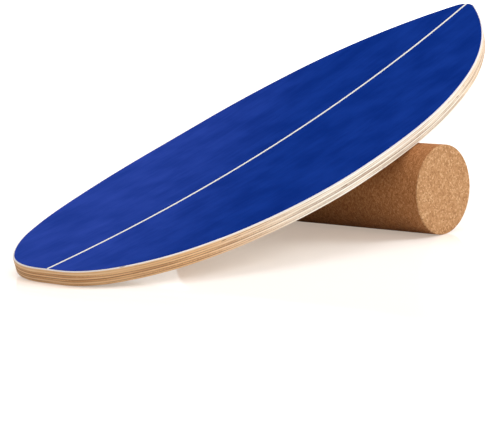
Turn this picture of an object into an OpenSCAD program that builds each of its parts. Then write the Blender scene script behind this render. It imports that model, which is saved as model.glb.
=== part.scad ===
// Balance board: a rockered, surfboard-shaped plywood deck on a loose cork roller.
// Millimetres, +Z up, +X towards the nose, +Y towards the left rail. The origin is the
// centre of the footprint on the floor. The board is shown at rest, tail on the floor.

/* [Deck] */
// Length of the deck in a straight line from tail to nose
deck_length = 773; // [703:2:821]
// Width of the deck at its widest point
deck_width = 313; // [291:2:341]
// Distance of the widest point from the tail
wide_point = 328; // [310:2:346]
// Radius of the lengthwise bow of the standing surface
rocker_radius = 3500; // [2000:50:6000]

/* [Layers] */
// Number of plies under the face veneer
ply_count = 7; // [7:1:7]
// Thickness of one ply
ply_thickness = 2.3; // [1.5:0.1:3]
// Thickness of the stained face veneer
face_thickness = 0.5; // [0.4:0.1:1]
// Bare border between the face veneer and the edge of the deck
face_border = 1.8; // [0.6:0.1:3]
// Width of the pale stripe let into the face veneer
stripe_width = 3; // [2:0.5:8]

/* [Rails] */
// Radii of the rail from the widest point forward to the nose
fore_radii = [1720, 678, 429]; // [100:1:2000]
// Angles that those arcs turn through, in degrees
fore_turns = [3.3, 13.5, 28.4]; // [2:0.1:30]
// Radius of the nose tip
nose_radius = 21.5; // [15:0.5:30]
// Least width of the flat end of the tail
tail_flat_least = 20; // [4:1:40]
// Radii of the rail from the widest point back to the tail corner
aft_radii = [812, 421, 196, 84]; // [60:1:2000]
// Angles that the first three of those arcs turn through, in degrees
aft_turns = [12.1, 9.9, 21.8]; // [2:0.1:25]

/* [Roller] */
// Diameter of the cork roller
roller_diameter = 100; // [80:2:120]
// Length of the roller
roller_length = 365; // [320:5:420]
// Rounding of the roller's two rims
roller_rim = 1.5; // [1:0.5:6]
// Distance along the underside from the tail to where the roller touches
roller_from_tail = 426; // [400:2:460]
// Clearance between the roller and the underside, which it only rests against
roller_clearance = 0.3; // [0.2:0.1:0.5]

/* [Hidden] */

long_grain = "burlywood";
cross_grain = "peru";
// Furthest that the drawn rail falls inside its true arcs, and a fineness for the rocker
rail_tolerance = 0.05;
rocker_fn = 2880;

deck_thickness = face_thickness + ply_count * ply_thickness;
half_length = deck_length / 2;
half_width = deck_width / 2;
roller_radius = roller_diameter / 2;

// The rocker: every layer is a shell about one level axis, above the middle of the deck.
under_radius = rocker_radius + deck_thickness;
axis_height = sqrt(pow(rocker_radius, 2) - pow(half_length, 2));
// How far a surface of radius r lies below the chord at the two ends of the deck
function end_drop(r) = sqrt(pow(r, 2) - pow(half_length, 2)) - axis_height;
tail_drop = end_drop(under_radius);

// The resting pose: the tail's lower edge on the floor, the underside over the roller.
reach = under_radius + roller_clearance + roller_radius;
touch_angle = roller_from_tail / under_radius * 180 / PI;
side_a = under_radius - reach * cos(touch_angle);
side_b = reach * sin(touch_angle);
tail_angle = atan2(side_b, side_a) - acos(roller_radius / norm([side_a, side_b]));
tilt = tail_angle + asin(half_length / under_radius);

// Places along X, first from the roller's axis and then from the middle of the footprint
bow_x = -reach * sin(tail_angle + touch_angle);
tail_from_roller = bow_x - half_length * cos(tilt) + axis_height * sin(tilt);
back_end = tail_from_roller + end_drop(rocker_radius + face_thickness) * sin(tilt);
front_end = tail_from_roller + deck_length * cos(tilt) + tail_drop * sin(tilt);
roller_x = -(back_end + front_end) / 2;
tail_x = tail_from_roller + roller_x;
tail_z = tail_drop * cos(tilt);

// The outline, seen square to the chord: tangent arcs out from the widest point.
function total(v, n) = n == 0 ? 0 : v[n - 1] + total(v, n - 1);
function cross2(a, b) = a[0] * b[1] - a[1] * b[0];
aft_all = [for (i = [0 : 3]) i < 3 ? aft_turns[i] : 90 - total(aft_turns, 3)];
// End of the first n arcs of a run, from a start that heads level along +X
function run_end(radii, turns, n) = n == 0 ? [0, 0] :
    let (a = total(turns, n - 1), b = total(turns, n))
    run_end(radii, turns, n - 1)
        + radii[n - 1] * [sin(b) - sin(a), cos(b) - cos(a)];
// Centre of arc n of a run
function run_centre(radii, turns, n) =
    run_end(radii, turns, n) - radii[n] * [sin(total(turns, n)), cos(total(turns, n))];

nose_turn = total(fore_turns, 3);
nose_centre = [deck_length - nose_radius, 0];
straight_dir = [cos(nose_turn), -sin(nose_turn)];
nose_dir = [sin(nose_turn), cos(nose_turn)];
widest = [wide_point, half_width];
fore_span = nose_centre + nose_radius * nose_dir - widest;
fore_end = run_end(fore_radii, fore_turns, 3);
// The arcs of a run grow or shrink together. Ahead, a straight takes up the rest before
// the nose, and a parallel stretch does so at the widest point where a straight can't.
fore_scale = min(cross2(fore_span, straight_dir) / cross2(fore_end, straight_dir),
    fore_span[1] / fore_end[1]);
straight = (fore_span[1] - fore_scale * fore_end[1]) / straight_dir[1];
fore_level = fore_span[0] - fore_scale * fore_end[0] - straight * straight_dir[0];
// Behind, the flat tail end takes up the rest, and again a parallel stretch if it can't.
aft_end = run_end(aft_radii, aft_all, 4);
aft_scale = min(wide_point / aft_end[0], (tail_flat_least / 2 - half_width) / aft_end[1]);
aft_level = wide_point - aft_scale * aft_end[0];

// Points along an arc, without its last one. Turns count from the level tangent at the
// top of the arc, and side is 1 towards the nose and -1 towards the tail.
function arc_points(centre, r, from, to, side) =
    let (n = ceil(abs(to - from) / (2 * acos(1 - rail_tolerance / r))))
    [for (i = [0 : n - 1]) let (turn = from + (to - from) * i / n)
        centre + r * [side * sin(turn), cos(turn)]];
// The left rail from the flat tail end to the nose, drawn in by a border
function left_rail(border) = concat(
    [for (i = [3 : -1 : 0]) let (c = aft_scale * run_centre(aft_radii, aft_all, i))
        each arc_points(widest + [-aft_level - c[0], c[1]], aft_scale * aft_radii[i] - border,
            total(aft_all, i + 1), total(aft_all, i), -1)],
    aft_level > 0.01 ? [widest + [-aft_level, -border]] : [],
    [for (i = [0 : 2]) let (c = fore_scale * run_centre(fore_radii, fore_turns, i))
        each arc_points(widest + [fore_level, 0] + c, fore_scale * fore_radii[i] - border,
            total(fore_turns, i), total(fore_turns, i + 1), 1)],
    straight > 0.01 ? [nose_centre + (nose_radius - border) * nose_dir - straight * straight_dir]
        : [],
    arc_points(nose_centre, nose_radius - border, nose_turn, 90, 1));

// The deck's outline, drawn in by a border
module outline(border = 0) {
    left = left_rail(border);
    right = [for (i = [len(left) - 1 : -1 : 0]) [left[i][0], -left[i][1]]];
    polygon(concat(left, [[deck_length - border, 0]], right));
}

// Moves what is drawn on the chord to where the resting deck lies
module at_rest() {
    translate([tail_x, 0, tail_z])
        rotate([0, -tilt, 0])
            children();
}

// One bowed layer of the deck, between two depths below the standing surface
module layer(top, bottom, border = 0, y0 = -deck_width, y1 = deck_width) {
    at_rest()
        intersection() {
            rotate([90, 0, 0])
                linear_extrude(height = 2 * deck_width, center = true)
                    intersection() {
                        translate([half_length, axis_height])
                            difference() {
                                circle(r = rocker_radius + bottom, $fn = rocker_fn);
                                circle(r = rocker_radius + top, $fn = rocker_fn);
                            }
                        translate([-half_length, -half_length])
                            square([2 * deck_length, deck_length]);
                    }
            translate([0, 0, -half_length])
                linear_extrude(height = deck_length)
                    intersection() {
                        outline(border);
                        translate([-half_length, y0])
                            square([2 * deck_length, y1 - y0]);
                    }
        }
}

// Ply n, counted from the bottom, where ply 1 is the underside
module ply(n) {
    top = face_thickness + (ply_count - n) * ply_thickness;
    color(n % 2 == 1 ? long_grain : cross_grain)
        layer(top, top + ply_thickness);
}

module ply_1_bottom() { ply(1); }
module ply_2() { ply(2); }
module ply_3() { ply(3); }
module ply_4() { ply(4); }
module ply_5() { ply(5); }
module ply_6() { ply(6); }
module ply_7_top() { ply(7); }

// The stained face, one half on each side of the stripe
module face_veneer_left() {
    color("mediumblue")
        layer(0, face_thickness, face_border, y0 = stripe_width / 2);
}

module face_veneer_right() {
    color("mediumblue")
        layer(0, face_thickness, face_border, y1 = -stripe_width / 2);
}

module centre_stripe() {
    color("ivory")
        layer(0, face_thickness, face_border, -stripe_width / 2, stripe_width / 2);
}

// A solid cylinder of cork granules with rounded rims, lying across the board
module cork_roller() {
    flat = roller_length - 2 * roller_rim;
    color("sandybrown")
        translate([roller_x, 0, roller_radius])
            rotate([90, 0, 0])
                rotate_extrude($fn = 180)
                    union() {
                        translate([0, -roller_length / 2])
                            square([roller_radius - roller_rim, roller_length]);
                        translate([0, -flat / 2])
                            square([roller_radius, flat]);
                        for (s = [1, -1])
                            translate([roller_radius - roller_rim, s * flat / 2])
                                circle(r = roller_rim, $fn = 48);
                    }
}

ply_1_bottom();
ply_2();
ply_3();
ply_4();
ply_5();
ply_6();
ply_7_top();
face_veneer_left();
face_veneer_right();
centre_stripe();
cork_roller();
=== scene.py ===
# %% [markdown]
# # A balance board on its cork roller
#
# A balance board is a surfboard-shaped deck that lies loose on a roller. This file models
# the one real deck as its maker builds it: seven plies of birch pressed to a slight bow,
# two halves of blue-stained veneer with a pale stripe between them, and a solid roller of
# pressed cork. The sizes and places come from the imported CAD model, which is the frame.
# Each piece made here is a finer copy of one CAD node, which is then hidden behind it.

# %% Open the frame
import math

import bmesh
import bpy
from mathutils import Matrix, Vector


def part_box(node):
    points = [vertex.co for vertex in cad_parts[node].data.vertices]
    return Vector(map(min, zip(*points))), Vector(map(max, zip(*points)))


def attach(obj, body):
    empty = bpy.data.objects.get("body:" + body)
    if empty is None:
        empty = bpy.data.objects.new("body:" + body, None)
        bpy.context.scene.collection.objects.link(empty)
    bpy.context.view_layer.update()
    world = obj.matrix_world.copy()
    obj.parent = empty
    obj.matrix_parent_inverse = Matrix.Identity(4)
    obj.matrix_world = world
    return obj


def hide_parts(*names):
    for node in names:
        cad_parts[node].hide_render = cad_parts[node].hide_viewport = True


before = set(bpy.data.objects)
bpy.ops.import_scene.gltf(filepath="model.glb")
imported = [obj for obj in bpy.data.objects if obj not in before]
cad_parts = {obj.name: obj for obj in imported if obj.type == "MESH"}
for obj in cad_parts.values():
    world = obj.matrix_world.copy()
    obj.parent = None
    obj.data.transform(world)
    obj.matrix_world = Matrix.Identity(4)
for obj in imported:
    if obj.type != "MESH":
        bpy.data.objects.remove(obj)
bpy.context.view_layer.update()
mm = 0.001

# %% [markdown]
# ## The camera
#
# A long lens from low behind the tail gives the board its quiet, flat perspective. A new
# camera looks straight down, along its own -Z. It is rolled a couple of degrees about that
# line, then tipped up until it almost looks along the floor, and last turned to face the
# board. A Track To constraint could aim it too, but would leave no way to roll it. Its
# place is counted from the middle of the roller.

# %% Place the camera
roller_low, roller_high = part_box("cork_roller")
roller_centre = (roller_low + roller_high) / 2
stand_point = roller_centre + Vector((-1965.5, -1617.2, 361.4)) * mm
heading, dip, roll = (math.radians(a) for a in (41.226, 8.979, -2.315))
film_width, lens_length = 36, 161.2
nearest, furthest = 0.1, 60
bpy.ops.object.camera_add(location=stand_point)
camera = bpy.context.object
camera.rotation_euler = (
    Matrix.Rotation(heading - math.pi / 2, 3, "Z")
    @ Matrix.Rotation(math.pi / 2 - dip, 3, "X")
    @ Matrix.Rotation(roll, 3, "Z")
).to_euler()
camera.data.sensor_width = film_width
camera.data.lens = lens_length
camera.data.clip_start, camera.data.clip_end = nearest, furthest
bpy.context.scene.camera = camera
print("camera", tuple(round(c, 3) for c in camera.location), "lens", camera.data.lens)

# %% [markdown]
# ## Working by hand
#
# Every mesh below starts as a primitive and is shaped in edit mode. An operator acts on
# whatever is selected, so small helpers pick one piece, open it, and then pick faces or
# edges by a rule that looks at their place and direction. Picking by number would be
# shorter, but the numbers change whenever a size does.

# %% Helpers for picking
def pick(*pieces):
    """Leaves only these pieces selected, in object mode, with the first one active."""
    if bpy.context.object and bpy.context.object.mode == "EDIT":
        bpy.ops.object.mode_set(mode="OBJECT")
    bpy.ops.object.select_all(action="DESELECT")
    for piece in pieces:
        piece.select_set(True)
    bpy.context.view_layer.objects.active = pieces[0]


def open_up(piece, mode="FACE"):
    """Goes into edit mode on one piece, with nothing in its mesh selected."""
    pick(piece)
    bpy.ops.object.mode_set(mode="EDIT")
    bpy.ops.mesh.select_mode(type=mode)
    bpy.ops.mesh.select_all(action="DESELECT")


def choose(piece, kind, rule):
    """Selects the verts, edges or faces of an opened mesh that follow a rule."""
    mesh = bmesh.from_edit_mesh(piece.data)
    for part in getattr(mesh, kind):
        if rule(part):
            part.select_set(True)
    mesh.select_flush_mode()
    bmesh.update_edit_mesh(piece.data)


# %% [markdown]
# Two more helpers end the work on a piece and repeat it. Smooth shading hides the facets
# of a curve, and only edges that turn by more than the given angle stay crisp.

# %% Helpers for finishing
def close_up(piece, sharp_from=12):
    """Turns the faces outwards, smooths across shallow edges and leaves edit mode."""
    bpy.ops.mesh.select_all(action="SELECT")
    bpy.ops.mesh.normals_make_consistent(inside=False)
    bpy.ops.object.mode_set(mode="OBJECT")
    bpy.ops.object.shade_smooth_by_angle(angle=math.radians(sharp_from))
    print(piece.name, len(piece.data.polygons), "faces")


def copy_of(piece, name):
    """A copy with a mesh of its own."""
    pick(piece)
    bpy.ops.object.duplicate(linked=False)
    twin = bpy.context.object
    twin.name = twin.data.name = name
    return twin


# %% [markdown]
# ## The rail
#
# The rail is the deck's outline, seen from above. A surfboard maker draws it as arcs that
# flow into each other, and so does this cell: each arc is given by its radius in
# millimetres and the degrees that it turns through, counted from the widest point. A
# Bezier curve would need fewer numbers, but its ends and its widest point would be hard to
# hold. The two runs are scaled a little so that they end exactly at the tail and the nose.

# %% Work out the arcs
deck_length, half_width, widest_from_tail = 773 * mm, 156.5 * mm, 328 * mm
nose_radius = 21.5 * mm
aft_arcs = [(812, 12.1), (421, 9.9), (196, 21.8), (84, 46.2)]
fore_arcs = [(1720, 3.3), (678, 13.5), (429, 28.4)]


def reach(arcs):
    """How far a run of arcs goes along and inwards from a level start, and its turn."""
    along = inwards = turned = 0
    for radius, turn in arcs:
        a, b = math.radians(turned), math.radians(turned + turn)
        along += radius * mm * (math.sin(b) - math.sin(a))
        inwards += radius * mm * (math.cos(a) - math.cos(b))
        turned += turn
    return along, inwards, math.radians(turned)


aft_along, aft_inwards, _ = reach(aft_arcs)
aft_scale = widest_from_tail / aft_along
tail_flat = half_width - aft_scale * aft_inwards

fore_along, fore_inwards, nose_turn = reach(fore_arcs)
ahead = deck_length - nose_radius * (1 - math.sin(nose_turn)) - widest_from_tail
across = half_width - nose_radius * math.cos(nose_turn)
slope = math.tan(nose_turn)
fore_scale = (ahead * slope - across) / (fore_along * slope - fore_inwards)
straight = (ahead - fore_scale * fore_along) / math.cos(nose_turn)
print(f"tail flat {tail_flat / mm:.2f} mm, straight {straight / mm:.1f} mm")

# %% [markdown]
# The pen is a single vertex, at the corner where the flat end of the tail meets the rail.
# Spin carries it round the centre of each arc in turn and leaves the last vertex selected
# for the next one. Just behind the nose comes a short straight stroke.

# %% Draw the outline
weld = 0.01 * mm
curve_step, length_step = math.radians(2), 12 * mm
bpy.ops.mesh.primitive_plane_add(size=mm, location=(0, 0, 0))
pattern = bpy.context.object
pattern.name = "pattern"
open_up(pattern, "VERT")
bpy.ops.mesh.select_all(action="SELECT")
bpy.ops.mesh.merge(type="CENTER")
bpy.ops.transform.translate(value=(0, tail_flat, 0))

pen, facing = Vector((0, tail_flat, 0)), math.pi / 2
run = [(aft_scale * r * mm, math.radians(t)) for r, t in reversed(aft_arcs)]
run += [(fore_scale * r * mm, math.radians(t)) for r, t in fore_arcs]
run += [(None, straight), (nose_radius, math.pi / 2 - nose_turn)]
for radius, turn in run:
    if radius is None:
        stroke = Vector((math.cos(facing), math.sin(facing), 0)) * turn
        bpy.ops.mesh.extrude_region_move(TRANSFORM_OT_translate={"value": stroke})
        pen += stroke
        continue
    centre = pen + radius * Vector((math.sin(facing), -math.cos(facing), 0))
    steps = max(2, math.ceil(turn / curve_step), math.ceil(radius * turn / length_step))
    bpy.ops.mesh.spin(steps=steps, angle=turn, center=centre, axis=(0, 0, 1))
    pen = centre + Matrix.Rotation(-turn, 3, "Z") @ (pen - centre)
    facing -= turn
bpy.ops.mesh.select_all(action="SELECT")
bpy.ops.mesh.remove_doubles(threshold=weld)
bpy.ops.object.mode_set(mode="OBJECT")
rail_points = [v.co.copy() for v in pattern.data.vertices]
print("rail points", len(rail_points), "pen at", [round(c / mm, 3) for c in pen],
      "furthest", [round(max(p[i] for p in rail_points) / mm, 3) for i in (0, 1)])

# %% [markdown]
# Mirror gives the other rail and welds the two at the nose. One face then fills the
# outline. This flat sheet is the pattern that every layer of the deck is cut to, as the
# real layers are cut to one template.

# %% Mirror and fill the pattern
mirror = pattern.modifiers.new("other rail", "MIRROR")
mirror.use_axis = (False, True, False)
mirror.merge_threshold = weld
pick(pattern)
bpy.ops.object.modifier_apply(modifier=mirror.name)
open_up(pattern, "EDGE")
bpy.ops.mesh.select_all(action="SELECT")
bpy.ops.mesh.edge_face_add()
bpy.ops.object.mode_set(mode="OBJECT")
print("pattern", len(pattern.data.vertices), "points,", len(pattern.data.polygons), "face")

# %% [markdown]
# ## The press
#
# The real deck is glued up over a curved former, which gives it its bow. Here a former is a
# strip of a large cylinder: a line across the deck, spun about the axis of the bow. Every
# layer gets a former of its own depth, so the layers lie on each other with no gap. A
# Simple Deform bend would be quicker to set up, but it keeps the length along the curve,
# and these sizes are measured in a straight line.

# %% Build a former
bow_radius = 3500 * mm
face_thickness, ply_thickness, plies = 0.5 * mm, 2.3 * mm, 7
axis_height = math.sqrt(bow_radius**2 - (deck_length / 2) ** 2)
former_half_turn, former_facets = math.radians(7), 240


def former(depth):
    """A strip of the cylinder that a layer's top lies on, this far under the deck's top."""
    radius = bow_radius + depth
    bpy.ops.mesh.primitive_plane_add(size=1, location=(0, 0, 0))
    strip = bpy.context.object
    open_up(strip, "VERT")
    bpy.ops.mesh.select_all(action="SELECT")
    bpy.ops.transform.resize(value=(0, 0.5, 1))
    bpy.ops.mesh.remove_doubles(threshold=mm)
    bpy.ops.transform.translate(value=(
        deck_length / 2 - radius * math.sin(former_half_turn), 0,
        axis_height - radius * math.cos(former_half_turn)))
    bpy.ops.mesh.spin(steps=former_facets, angle=2 * former_half_turn, axis=(0, 1, 0),
                      center=(deck_length / 2, 0, axis_height))
    bpy.ops.object.mode_set(mode="OBJECT")
    return strip


print(f"axis of the bow {axis_height:.4f} m above the tail")

# %% [markdown]
# Shrinkwrap drops each sheet straight down onto its former. Only points move, and a face
# between two points stays flat, so a sheet is first cut across at stations that are close
# enough for the bow to look round.

# %% Cut a sheet at stations and press it
station_step = 20 * mm


def cut_stations(piece):
    """Cuts an opened sheet straight across at even stations along the deck."""
    for station in range(1, math.ceil(deck_length / station_step)):
        bpy.ops.mesh.select_all(action="SELECT")
        bpy.ops.mesh.bisect(plane_co=(station * station_step, 0, 0), plane_no=(1, 0, 0))
    bpy.ops.object.mode_set(mode="OBJECT")


def press(piece, depth):
    """Drops a flat sheet onto the former of its depth."""
    mould = former(depth)
    pick(piece)
    drop = piece.modifiers.new("press", "SHRINKWRAP")
    drop.target, drop.wrap_method = mould, "PROJECT"
    drop.use_project_x = drop.use_project_y = False
    drop.use_project_z = True
    drop.use_positive_direction = drop.use_negative_direction = True
    bpy.ops.object.modifier_apply(modifier=drop.name)
    bpy.data.objects.remove(mould)


# %% [markdown]
# ## Where the deck rests
#
# The tail's lower edge is on the floor, and the underside leans on the roller. The lean
# follows from the roller's size and from how far along the underside it touches. A hair of
# a gap stands in for the touching, so that the two never cut into each other. A finished
# piece has to keep its place in its mesh, so the turn and the move are applied at once.

# %% Work out the lean
roller_radius = (roller_high.z - roller_low.z) / 2
under_radius = bow_radius + face_thickness + plies * ply_thickness
touch_gap, touch_from_tail = 0.3 * mm, 426 * mm
reach_radius = under_radius + touch_gap + roller_radius
touch_angle = touch_from_tail / under_radius
beside, above = (under_radius - reach_radius * math.cos(touch_angle),
                 reach_radius * math.sin(touch_angle))
to_centre = math.hypot(beside, above)
tail_angle = math.atan2(above, beside) - math.acos(roller_radius / to_centre)
lean = tail_angle + math.asin(deck_length / 2 / under_radius)
tail_drop = math.sqrt(under_radius**2 - (deck_length / 2) ** 2) - axis_height
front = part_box("ply_1_bottom")[1].x
tail_place = Vector((front - deck_length * math.cos(lean) - tail_drop * math.sin(lean), 0,
                     tail_drop * math.cos(lean)))
print(f"lean {math.degrees(lean):.4f} degrees, tail at",
      [round(c / mm, 3) for c in tail_place])


def lean_back(piece):
    """Tips a finished layer about the tail, puts it in its place and settles its mesh."""
    pick(piece)
    piece.rotation_euler = (0, -lean, 0)
    piece.location = tail_place
    bpy.ops.object.transform_apply(location=True, rotation=True, scale=True)


# %% [markdown]
# ## Thickness
#
# A pressed sheet gets its thickness by an extrusion straight down. Solidify would do it
# too, but square to the curve, and then the ends would no longer stand upright. Where the
# maker rounds a rim over with a router, a bevel does the same. Only those edges are chosen
# that part a level face from an upright one.

# %% Thicken a sheet and round its rim
level, upright = 0.9, 0.3


def is_rim(edge, up):
    """True for an edge between the top (up = 1) or bottom (-1) and the upright side."""
    normals = [face.normal.z * up for face in edge.link_faces]
    return (len(normals) == 2 and max(normals) > level
            and abs(min(normals, key=abs)) < upright)


def thicken(piece, thickness, rounding=0, up=1, segments=4):
    """Gives a pressed sheet its thickness, and rounds its upper or lower rim."""
    open_up(piece)
    bpy.ops.mesh.select_all(action="SELECT")
    bpy.ops.mesh.extrude_region_move(TRANSFORM_OT_translate={"value": (0, 0, -thickness)})
    bpy.ops.mesh.select_all(action="SELECT")
    bpy.ops.mesh.normals_make_consistent(inside=False)
    bpy.ops.mesh.select_all(action="DESELECT")
    if rounding:
        bpy.ops.mesh.select_mode(type="EDGE")
        choose(piece, "edges", lambda edge: is_rim(edge, up))
        bpy.ops.mesh.bevel(offset=rounding, segments=segments, affect="EDGES")
    close_up(piece)


# %% [markdown]
# ## The plies
#
# Seven plies of birch, each 2.3 mm thick, make up the deck. Each is the pattern, cut,
# pressed and thickened, and then leaned back into its place. One solid with lines painted
# on it would look much the same, but the real plies are separate sheets, and so are these.
# The box of each is measured against its CAD node, to show that no size has slipped.

# %% Make the seven plies
def size_error(piece, node):
    """The largest difference between a piece's box and its CAD node's, in millimetres."""
    points = [v.co for v in piece.data.vertices]
    low = [min(p[i] for p in points) for i in range(3)]
    high = [max(p[i] for p in points) for i in range(3)]
    wanted = [*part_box(node)[0], *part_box(node)[1]]
    return round(max(abs(a - b) for a, b in zip(low + high, wanted)) / mm, 3)


ply_names = ["ply_1_bottom", *(f"ply_{n}" for n in range(2, plies)), "ply_7_top"]
routed = {"ply_1_bottom": 1.2 * mm, "ply_7_top": 1.7 * mm}
deck_pieces = {}
for number, name in enumerate(ply_names, start=1):
    ply = copy_of(pattern, "birch_" + name)
    open_up(ply)
    cut_stations(ply)
    press(ply, face_thickness + (plies - number) * ply_thickness)
    thicken(ply, ply_thickness, routed.get(name, 0), up=1 if number == plies else -1)
    lean_back(ply)
    deck_pieces[name] = ply
    print(name, "box off by", size_error(ply, name), "mm")

# %% [markdown]
# ## The stained face and its stripe
#
# The blue face stops a hair short of the rail, so a thin line of bare birch shows all
# round. Insetting the pattern and dropping the ring gives that border. It keeps the same
# width everywhere, which a smaller scale of the pattern wouldn't.

# %% Cut the face pattern
border = 1.8 * mm
open_up(pattern)
bpy.ops.mesh.select_all(action="SELECT")
bpy.ops.mesh.inset(thickness=border)
bpy.ops.mesh.select_all(action="INVERT")
bpy.ops.mesh.delete(type="FACE")
bpy.ops.object.mode_set(mode="OBJECT")
print("face pattern", len(pattern.data.vertices), "points")

# %% [markdown]
# Two long cuts beside the centre line part the face into the left half, the stripe and the
# right half, as a maker inlays a strip. Each is cut from a copy of the face pattern by
# bisecting it and clearing what lies outside. Their upper rims are eased a little, which
# catches a fine line of light along the stripe.

# %% Press the two halves and the stripe
stripe_edge, face_rounding = 1.5 * mm, 0.4 * mm


def face_strip(name, low, high):
    """The part of the face between two distances from the centre line."""
    strip = copy_of(pattern, name)
    open_up(strip)
    for side, outer in ((low, False), (high, True)):
        if side is not None:
            bpy.ops.mesh.select_all(action="SELECT")
            bpy.ops.mesh.bisect(plane_co=(0, side, 0), plane_no=(0, 1, 0),
                                clear_inner=not outer, clear_outer=outer)
    cut_stations(strip)
    press(strip, 0)
    thicken(strip, face_thickness, face_rounding, segments=3)
    lean_back(strip)
    return strip


for name, finish, low, high in (("face_veneer_left", "stained_", stripe_edge, None),
                                ("centre_stripe", "pale_", -stripe_edge, stripe_edge),
                                ("face_veneer_right", "stained_", None, -stripe_edge)):
    deck_pieces[name] = face_strip(finish + name, low, high)
    print(name, "box off by", size_error(deck_pieces[name], name), "mm")
bpy.data.objects.remove(pattern)

# %% [markdown]
# ## The roller
#
# The roller is turned from a block of cork granules pressed together with a binder. It
# starts as a cylinder whose rims are rounded. Its side is then cut into short lengths and
# its ends into rings, because the next step lifts and sinks points, and a long flat face
# has none to move.

# %% Turn the roller
roller_length = roller_high.y - roller_low.y
around, lengthwise_cuts = 200, 180
rings, ring_width = 22, 2 * mm
roller_rounding = 1.5 * mm
bpy.ops.mesh.primitive_cylinder_add(
    vertices=around, radius=roller_radius, depth=roller_length, end_fill_type="NGON",
    location=roller_centre, rotation=(math.pi / 2, 0, 0))
roller = bpy.context.object
roller.name = roller.data.name = "pressed_cork_roller"
bpy.ops.object.transform_apply(location=True, rotation=True, scale=True)
open_up(roller, "EDGE")
choose(roller, "edges", lambda e: max(abs(f.normal.y) for f in e.link_faces) > level)
bpy.ops.mesh.bevel(offset=roller_rounding, segments=3, affect="EDGES")
bpy.ops.mesh.select_all(action="DESELECT")
choose(roller, "edges", lambda e: e.calc_length() > roller_length / 2)
bpy.ops.mesh.subdivide(number_cuts=lengthwise_cuts)
bpy.ops.mesh.select_mode(type="FACE")
for end in (-1, 1):
    bpy.ops.mesh.select_all(action="DESELECT")
    choose(roller, "faces", lambda f: f.normal.y * end > 0.99 and len(f.verts) == around)
    for _ in range(rings):
        bpy.ops.mesh.inset(thickness=ring_width)
    bpy.ops.mesh.poke()
close_up(roller, sharp_from=20)

# %% [markdown]
# Turned cork is never quite smooth: granules tear out and leave shallow hollows. Displace
# pushes the points inwards by a cloudy texture with clouds of a granule's size. Its middle
# level is 1, so nothing comes out past the turned size. Bump in the material could fake
# the shading, but the outline would stay as straight as a pipe's.

# %% Roughen the cork
granule, hollow = 3.2 * mm, 0.28 * mm
smooth_below = math.radians(40)
relief = bpy.data.textures.new("cork relief", "CLOUDS")
relief.noise_scale, relief.noise_depth = granule, 2
lift = roller.modifiers.new("granules", "DISPLACE")
lift.texture, lift.strength, lift.mid_level = relief, hollow, 1.0
pick(roller)
bpy.ops.object.modifier_apply(modifier=lift.name)
bpy.ops.object.shade_smooth_by_angle(angle=smooth_below)
print("roller box off by", size_error(roller, "cork_roller"), "mm")

# %% [markdown]
# ## Writing materials
#
# A material is a small sum over the surface, so a small class lets the sums be written as
# sums. A Wire is the value that leaves one node. Arithmetic on wires adds Math nodes, and
# `node` adds any other kind. Colours and vectors go through Mix and Mapping nodes, because
# a Math node would turn a colour grey.

# %% The Wire class
class Wire:
    """A value, colour or vector on its way through a material."""

    def __init__(self, tree, socket=None):
        self.tree, self.socket = tree, socket

    def node(self, kind, inputs=None, out=0, stops=None, **settings):
        """Adds a node, sets it up, feeds its sockets and gives one of its outputs."""
        made = self.tree.nodes.new("ShaderNode" + kind)
        for name, value in settings.items():
            setattr(made, name, value)
        if stops:
            points = made.color_ramp.elements
            while len(points) < len(stops):
                points.new(1)
            for point, (place, colour) in zip(points, stops):
                point.position, point.color = place, (*colour, 1)
        for name, value in (inputs or {}).items():
            if isinstance(value, Wire):
                self.tree.links.new(value.socket, made.inputs[name])
            else:
                made.inputs[name].default_value = value
        return Wire(self.tree, made.outputs[out])

    def sum(self, operation, *values):
        """One Math node on these values."""
        return self.node("Math", dict(enumerate(values)), operation=operation)

    def __add__(self, other):
        return self.sum("ADD", self, other)

    def __sub__(self, other):
        return self.sum("SUBTRACT", self, other)

    def __rsub__(self, other):
        return self.sum("SUBTRACT", other, self)

    def __mul__(self, other):
        return self.sum("MULTIPLY", self, other)

    def __truediv__(self, other):
        return self.sum("DIVIDE", self, other)

    def __pow__(self, other):
        return self.sum("POWER", self, other)

    __radd__, __rmul__ = __add__, __mul__

    def between(self, low, high):
        """0 below low, 1 above high, and a smooth rise between them."""
        return self.node("MapRange", {0: self, 1: low, 2: high},
                         interpolation_type="SMOOTHSTEP")

    def mix(self, first, second, **settings):
        """The first colour where this is 0, and the second where it is 1."""
        first, second = (c if isinstance(c, Wire) else (*c, 1) for c in (first, second))
        return self.node("Mix", {0: self, 6: first, 7: second}, out=2,
                         data_type="RGBA", **settings)

    def stretched(self, *scale):
        """These coordinates, stretched or squeezed along each axis."""
        return self.node("Mapping", {"Vector": self, "Scale": scale})

    def noise(self, per_metre, detail=3.0, roughness=0.5, out=0):
        """Cloudy noise, with about this many clouds to the metre."""
        return self.node("TexNoise", {"Vector": self, "Scale": per_metre,
                                      "Detail": detail, "Roughness": roughness}, out=out)


# %% [markdown]
# What is the same all over a surface is set on the shader's own sockets. What changes over
# it is fed in afterwards, as wires. A bump bends the light as a fine relief would, and is
# kept for what is too fine to model.

# %% Helpers for materials
def new_material(name, **constants):
    """A material, the start of its wiring, and a function that feeds its shader."""
    material = bpy.data.materials.new(name)
    material.use_nodes = True
    tree = material.node_tree
    shader = tree.nodes["Principled BSDF"]
    for socket, value in constants.items():
        shader.inputs[socket.replace("_", " ")].default_value = value

    def feed(**wires):
        for socket, wire in wires.items():
            tree.links.new(wire.socket, shader.inputs[socket.replace("_", " ")])

    return material, Wire(tree), feed


def bump(height, distance):
    """A surface that rises and sinks with a value, by up to this distance."""
    return height.node("Bump", {"Height": height, "Distance": distance})


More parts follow.
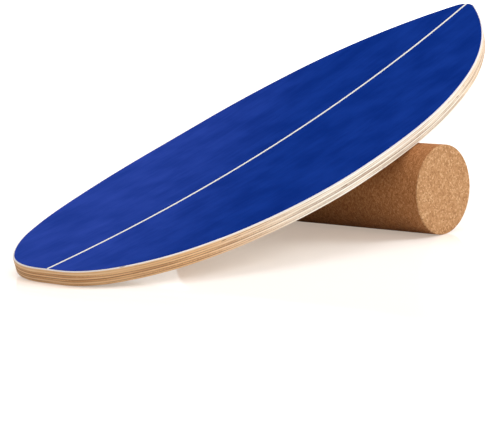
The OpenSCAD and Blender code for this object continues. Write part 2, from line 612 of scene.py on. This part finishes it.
# %% [markdown]
# ## Coordinates that lie in the wood
#
# Grain has to follow the deck and not the room. A Mapping node tips the object's own
# coordinates back to level. The distance from the bow's axis then gives the depth of a
# point under the deck's top, which tells one layer from the next. An unwrapped UV map could
# do this too, but every ply would need its own, and the grain would break at the edges.

# %% Wood coordinates
def in_the_wood(start):
    """A vector of distance from tail and centre line and of depth, and its three parts."""
    place = start.node("TexCoord", out=3)
    to_level = Matrix.Rotation(lean, 3, "Y")
    flat = place.node("Mapping", {"Vector": place, "Rotation": (0, lean, 0),
                                  "Location": -(to_level @ tail_place)})
    split = flat.node("SeparateXYZ", {"Vector": flat}).socket.node
    along, across, up = (Wire(start.tree, out) for out in split.outputs)
    depth = (((along - deck_length / 2) ** 2 + (axis_height - up) ** 2) ** 0.5) - bow_radius
    wood = start.node("CombineXYZ", {0: along, 1: across, 2: depth})
    return wood, along, across, depth


def end_grain(start, grain_along):
    """1 where a face is cut across the fibres, and 0 where it runs with them."""
    facing = start.node("TexCoord", out=1)
    fibre = (math.cos(lean), 0, math.sin(lean)) if grain_along else (0, 1, 0)
    lined_up = facing.node("VectorMath", {0: facing, 1: fibre}, out=1,
                           operation="DOT_PRODUCT")
    return lined_up.sum("ABSOLUTE", lined_up)


# %% [markdown]
# ## Birch plies
#
# The plies are laid with their grain crossed, so that the deck can't split. On the edge of
# the deck a long-grain ply shows pale streaks that run with the edge, and a cross-grain ply
# shows the darker ends of its fibres. Round the tail the two change over. The streaks are
# noise stretched along the fibres, and the fibre ends are fine specks with broad patches.
# The upper plies are a touch paler.

# %% Colour clean birch
def streaks_of_birch(wood, grain_along):
    """Fine streaks that run with the fibres of a ply."""
    stretch = (6, 60, 400) if grain_along else (60, 6, 400)
    return wood.stretched(*stretch).noise(4, detail=4, roughness=0.6)


def clean_birch(wood, depth, fibres, cut, pale, deep, ends_pale, ends_deep):
    """The colour of clean birch, along the fibres and where they are cut."""
    upper = 1 - depth.between(4.5 * mm, 7 * mm)
    clouds = wood.stretched(9, 9, 120).noise(2, detail=2)
    tone = (fibres * 0.6 + clouds * 0.4 + upper * 0.06).between(0.35, 0.65)
    pores = wood.noise(900, detail=2, roughness=0.6)
    patches = wood.stretched(11, 11, 160).noise(1.5, detail=2)
    ends = (pores * 0.35 + patches * 0.65 + upper * 0.12).between(0.4, 0.62)
    return cut.between(0.45, 0.95).mix(tone.mix(deep, pale), ends.mix(ends_deep, ends_pale))


# %% [markdown]
# Thin glue lines lie where one ply meets the next. Counted in plies, the depth is a whole
# number at each joint, and Ping-pong folds it into the distance from the nearest one. The
# glue was spread unevenly, so noise makes each line stronger here and weaker there. The
# fourth line down took the most glue and shows darkest. The bare underside has no line.

# %% Draw the glue lines
glue_brown = (0.17, 0.08, 0.037)
darkest_line = 4


def glued(colour, wood, plies_down):
    """Adds the glue lines to the edge of the deck."""
    from_joint = plies_down.sum("PINGPONG", plies_down, 0.5)
    inside = 1 - plies_down.between(plies - 0.5, plies - 0.4)
    line = (1 - from_joint.between(0.04, 0.18)) * inside
    plenty = wood.stretched(9, 9, 400).noise(1.2, detail=2).between(0.44, 0.62)
    most = 1 - ((plies_down - darkest_line) ** 2).between(0.02, 0.2)
    return (line * (0.25 + plenty * 0.6 + most * 0.55)).mix(colour, glue_brown)


# %% [markdown]
# The edge isn't the same colour all round. It is warmer and deeper towards the tail and a
# little at the nose. Its upper rim is pale: partly bare wood left by sanding, and partly a
# painted highlight where the rounded rim catches light. Multiplying by a warm tint deepens
# the wood and keeps its grain, where a plain mix would cover it.

# %% Warm the edge and pale its rim
warm_end_tint = (0.90, 0.61, 0.37)
rim_highlight_middle, rim_highlight_tail = (0.72, 0.685, 0.69), (0.85, 0.78, 0.74)


def warmed_to_ends(colour, along, depth, on_edge):
    """Warms the edge towards the ends of the deck, and makes its top rim pale, partly a
    painted highlight.
    """
    to_the_ends = 1 - along.between(0.07, 0.28) + along.between(0.48, 0.62) * 0.4
    warmth = to_the_ends * (0.3 + on_edge * 0.7)
    colour = warmth.mix(colour, warm_end_tint, blend_type="MULTIPLY")
    # The pale top rim is partly bare wood and partly a painted highlight along the rounded
    # edge.
    sanded_rim_and_highlight = warmth.mix(rim_highlight_middle, rim_highlight_tail)
    return (1 - depth.between(1.1 * mm, 1.8 * mm)).mix(colour, sanded_rim_and_highlight)


# %% [markdown]
# Here and there a ply has a short dark gap, where two strips of it didn't quite meet. Only
# the tallest peaks of a noise become gaps, so they stay rare. They are dark and sunk, and
# the underside has none. The two kinds of ply then differ only in the run of their grain
# and in their shades.

# %% Make the two kinds of ply
gap_brown = (0.16, 0.075, 0.03)


def birch(name, grain_along, *shades):
    """A ply's material. The shades are pale and deep, then the same for cut fibres."""
    material, start, feed = new_material(name, Roughness=0.55, Specular_IOR_Level=0.15)
    wood, along, _, depth = in_the_wood(start)
    plies_down = (depth - face_thickness) / ply_thickness
    on_edge = 1 - plies_down.between(plies - 0.12, plies - 0.02)
    fibres = streaks_of_birch(wood, grain_along)
    colour = clean_birch(wood, depth, fibres, end_grain(start, grain_along), *shades)
    colour = glued(colour, wood, plies_down)
    colour = warmed_to_ends(colour, along, depth, on_edge)
    gaps = wood.stretched(34, 34, 330).noise(1.0, detail=1).between(0.74, 0.77) * on_edge
    colour = (gaps * 0.75).mix(colour, gap_brown)
    feed(Base_Color=colour, Normal=bump(fibres - gaps * 0.5, 0.12 * mm))
    return material


long_grain = birch("birch_long_grain", True, (1.0, 0.94, 0.83), (0.88, 0.77, 0.62),
                   (0.94, 0.80, 0.63), (0.66, 0.48, 0.33))
cross_grain = birch("birch_cross_grain", False, (1.0, 0.96, 0.88), (0.90, 0.77, 0.63),
                    (0.90, 0.77, 0.62), (0.58, 0.43, 0.32))
print("birch", [m.name for m in (long_grain, cross_grain)])

# %% [markdown]
# ## Blue stain
#
# The stain soaks into the veneer, so the grain still shows as faint streaks, with slow
# clouds where more of it was wiped on. The blue is paler towards the tail and deeper
# towards the nose and the right rail, and that change is a painted sheen. Paint would hide
# the grain, so this isn't a plain blue but a mix between a pale and a deep one, and it
# hardly shines.

# %% Stain the face
stain, start, feed = new_material("blue_stained_veneer", Roughness=0.5,
                                  Specular_IOR_Level=0.004)
wood, along, across, _ = in_the_wood(start)
wiped = wood.stretched(7, 13, 1).noise(2.6, detail=3, roughness=0.5)
streaks = wood.stretched(4, 70, 1).noise(3, detail=4, roughness=0.6)
tone = (wiped * 0.7 + streaks * 0.3).between(0.28, 0.72)
# Painted sheen: the blue is paler towards the tail and deeper towards the nose and the
# right rail.
painted_sheen_fade = (along - across * 2).between(0, 0.45)
deep = painted_sheen_fade.mix((0.0105, 0.037, 0.265), (0.0012, 0.021, 0.19))
pale = painted_sheen_fade.mix((0.022, 0.055, 0.345), (0.005, 0.034, 0.255))
feed(Base_Color=tone.mix(deep, pale), Normal=bump(streaks, 0.04 * mm))
print("stain", stain.name)

# %% [markdown]
# ## The pale stripe
#
# The stripe is a strip of pale wood with its grain running along it. It took no stain. At
# 3 mm wide it shows little more than a fine streak, so one noise, stretched far along the
# deck, is enough.

# %% Leave the stripe pale
maple, start, feed = new_material("pale_stripe", Roughness=0.5, Specular_IOR_Level=0.1)
wood, *_ = in_the_wood(start)
streaks = wood.stretched(8, 300, 1).noise(3, detail=3)
feed(Base_Color=streaks.between(0.3, 0.7).mix((0.785, 0.75, 0.67), (0.885, 0.845, 0.76)))
print("stripe", maple.name)

# %% [markdown]
# ## Cork
#
# Each granule has its own shade, so the granules are the cells of a Voronoi pattern, each
# with one random value, and fine grit lies over them. The cells are thinner along the
# roller, because the block was pressed that way. A little warp keeps their borders from
# looking ruled.

# %% Press the cork
granules_per_metre, grit_per_metre = 480, 1000
warp_share, squeeze = 0.004, 2.0
cork, start, feed = new_material("pressed_cork", Roughness=0.85, Specular_IOR_Level=0.15)
place = start.node("TexCoord", out=3)
warp = place.noise(160, detail=2, out=1)
bent = place.node("Mix", {0: warp_share, 4: place, 5: warp}, out=1, data_type="VECTOR")
squeezed = bent.stretched(1, squeeze, 1)
cells = squeezed.node("TexVoronoi", {"Vector": squeezed, "Scale": granules_per_metre},
                      out=1)
shade = cells.node("SeparateXYZ", {"Vector": cells})
grit = place.noise(grit_per_metre, detail=2, roughness=0.7)
tone = shade * 0.4 + grit * 0.6
print("cork", cork.name)

# %% [markdown]
# The ends and the side are the same cork, but each has a colour ramp of its own: the paler,
# yellower ramp on the ends is painted light, and the darker, browner one on the side is
# painted shade. Which of them a point lies on is read from the way that it faces. The end
# colour also runs over the rounded rim as a painted highlight, so the line between the two
# is ragged, and the grit makes it so.

# %% Paint the ends lit and the side shaded
# Painted light and shade: a paler, yellower ramp for the ends, a darker, browner one for
# the side.
lit_end_ramp = tone.node("ValToRGB", {0: tone}, stops=[
    (0.25, (0.36, 0.17, 0.065)), (0.42, (0.485, 0.245, 0.105)),
    (0.58, (0.55, 0.288, 0.13)), (0.70, (0.66, 0.39, 0.20)), (0.82, (0.86, 0.58, 0.34))])
shaded_side_ramp = tone.node("ValToRGB", {0: tone}, stops=[
    (0.2, (0.21, 0.075, 0.022)), (0.4, (0.35, 0.135, 0.045)),
    (0.6, (0.44, 0.182, 0.065)), (0.85, (0.64, 0.32, 0.135))])
facing = start.node("TexCoord", out=1)
lengthwise = facing.node("SeparateXYZ", {0: facing}, out=1)
squarely = lengthwise.sum("ABSOLUTE", lengthwise).between(0.1, 0.4)
sideways = place.node("SeparateXYZ", {0: place}, out=1)
from_middle = sideways.sum("ABSOLUTE", sideways)
half_length = roller_high.y - roller_centre.y
# Painted highlight: the end colour runs over the rounded rim, ragged with grit.
cork_rim_highlight = (from_middle + grit * 3 * mm).between(half_length - 0.4 * mm,
                                               half_length + 1.2 * mm)
lit_end_and_rim = squarely.sum("MAXIMUM", squarely, cork_rim_highlight)
feed(Base_Color=lit_end_and_rim.mix(shaded_side_ramp, lit_end_ramp), Normal=bump(tone, 0.18 * mm))
print("cork ends at", round(half_length / mm, 1), "mm from the middle")

# %% [markdown]
# ## Hanging each piece on its body
#
# The deck tilts about the roller, so every layer rides on the deck and the cork rides on
# the roller. Each piece stands for the CAD node that it was made after, takes its material,
# and hides that node.

# %% Hand the pieces over
finishes = {"face_veneer_left": (stain, "blue_face"), "centre_stripe": (maple, "stripe"),
            "face_veneer_right": (stain, "blue_face"), "cork_roller": (cork, "cork")}
for number, name in enumerate(ply_names):
    crossed = number % 2 == 1
    finishes[name] = (cross_grain, "dark_ply") if crossed else (long_grain, "light_ply")
for name, piece in [*deck_pieces.items(), ("cork_roller", roller)]:
    material, slot = finishes[name]
    piece.data.materials.clear()
    piece.data.materials.append(material)
    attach(piece, "roller" if name == "cork_roller" else "deck")
    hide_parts(name)
print("pieces handed over:", len(deck_pieces) + 1)

# %% [markdown]
# ## The floor
#
# The studio floor is white and runs off into a white world. It keeps the soft shadow and a
# faint reflection, and shines a little of its own to the camera alone, so that its lit
# parts are pure white and no extra light falls on the board. The glow is warmer near the
# board, which warms the shadow.

# %% Lay the floor
floor_size, mirror_share = 30, 0.25
warm_glow, white = (0.40, 0.33, 0.275), (1, 1, 1)
bpy.ops.mesh.primitive_plane_add(size=floor_size, location=(0, 0, 0))
floor = bpy.context.object
floor.name = "studio_floor"
sweep = bpy.data.materials.new("white_sweep")
sweep.use_nodes = True
tree = sweep.node_tree
start = Wire(tree)
shader = tree.nodes["Principled BSDF"]
shader.inputs["Base Color"].default_value = (0.8, 0.8, 0.8, 1)
shader.inputs["Roughness"].default_value = 0.9
shader.inputs["Specular IOR Level"].default_value = 0
matt = Wire(tree, shader.outputs[0])
glossy = start.node("BsdfGlossy", {"Color": (*white, 1), "Roughness": 0.06})
both = start.node("MixShader", {0: mirror_share, 1: matt, 2: glossy})
seen = start.node("LightPath", out=0)
place = start.node("TexCoord", out=3)
away = place.node("VectorMath", {0: place}, out=1, operation="LENGTH").between(0.8, 3)
glow = start.node("Emission", {"Color": away.mix(warm_glow, white), "Strength": seen})
total = start.node("AddShader", {0: both, 1: glow})
tree.links.new(total.socket, tree.nodes["Material Output"].inputs["Surface"])
floor.data.materials.append(sweep)
print("floor", floor.name)

# %% [markdown]
# ## The world
#
# The world is pure white to the camera. As light on the board it is only half as strong,
# so that it fills the shadows without washing out the colours. What the floor mirrors of
# it fades with height, so the reflection has some depth.

# %% Light the world
light_on_board, mirror_fade = 0.5, 0.85
world = bpy.data.worlds.new("studio")
bpy.context.scene.world = world
world.use_nodes = True
background = world.node_tree.nodes["Background"]
start = Wire(world.node_tree)
path = start.node("LightPath").socket.node
to_camera = Wire(world.node_tree, path.outputs["Is Camera Ray"])
to_gloss = Wire(world.node_tree, path.outputs["Is Glossy Ray"])
towards = start.node("TexCoord", out=0)
height = towards.node("SeparateXYZ", {0: towards}, out=2)
mirrored = 1 - height.between(0.2, 0.35) * mirror_fade
lit = to_gloss * mirrored + (1 - to_gloss) * light_on_board
strength = to_camera.sum("MAXIMUM", to_camera, lit)
world.node_tree.links.new(strength.socket, background.inputs["Strength"])
background.inputs["Color"].default_value = (*white, 1)
print("world", world.name)

# %% [markdown]
# ## The lamps
#
# Three softboxes light the board: a key beyond the right rail on the nose's side, a top
# light above it, and a weak fill from behind the tail. Large lamps give soft shadows. Small
# or distant ones would draw hard edges on the floor.

# %% Hang the softboxes
middle_of_board = Vector((0, 0, 0.1))


def softbox(name, place, size, watts):
    """A large square lamp that faces the middle of the board."""
    bpy.ops.object.light_add(type="AREA", location=place)
    lamp = bpy.context.object
    lamp.name = name
    lamp.data.size, lamp.data.energy = size, watts
    towards_board = middle_of_board - Vector(place)
    lamp.rotation_euler = towards_board.to_track_quat("-Z", "Y").to_euler()
    print(name, size, "m wide,", watts, "W")


softbox("key", (1.6, -2.2, 1.7), 1.6, 58)
softbox("top", (0.2, 0.4, 2.6), 1.8, 29)
softbox("fill", (-2.2, -0.9, 0.9), 1.4, 6)
bpy.context.scene.view_settings.view_transform = "Standard"
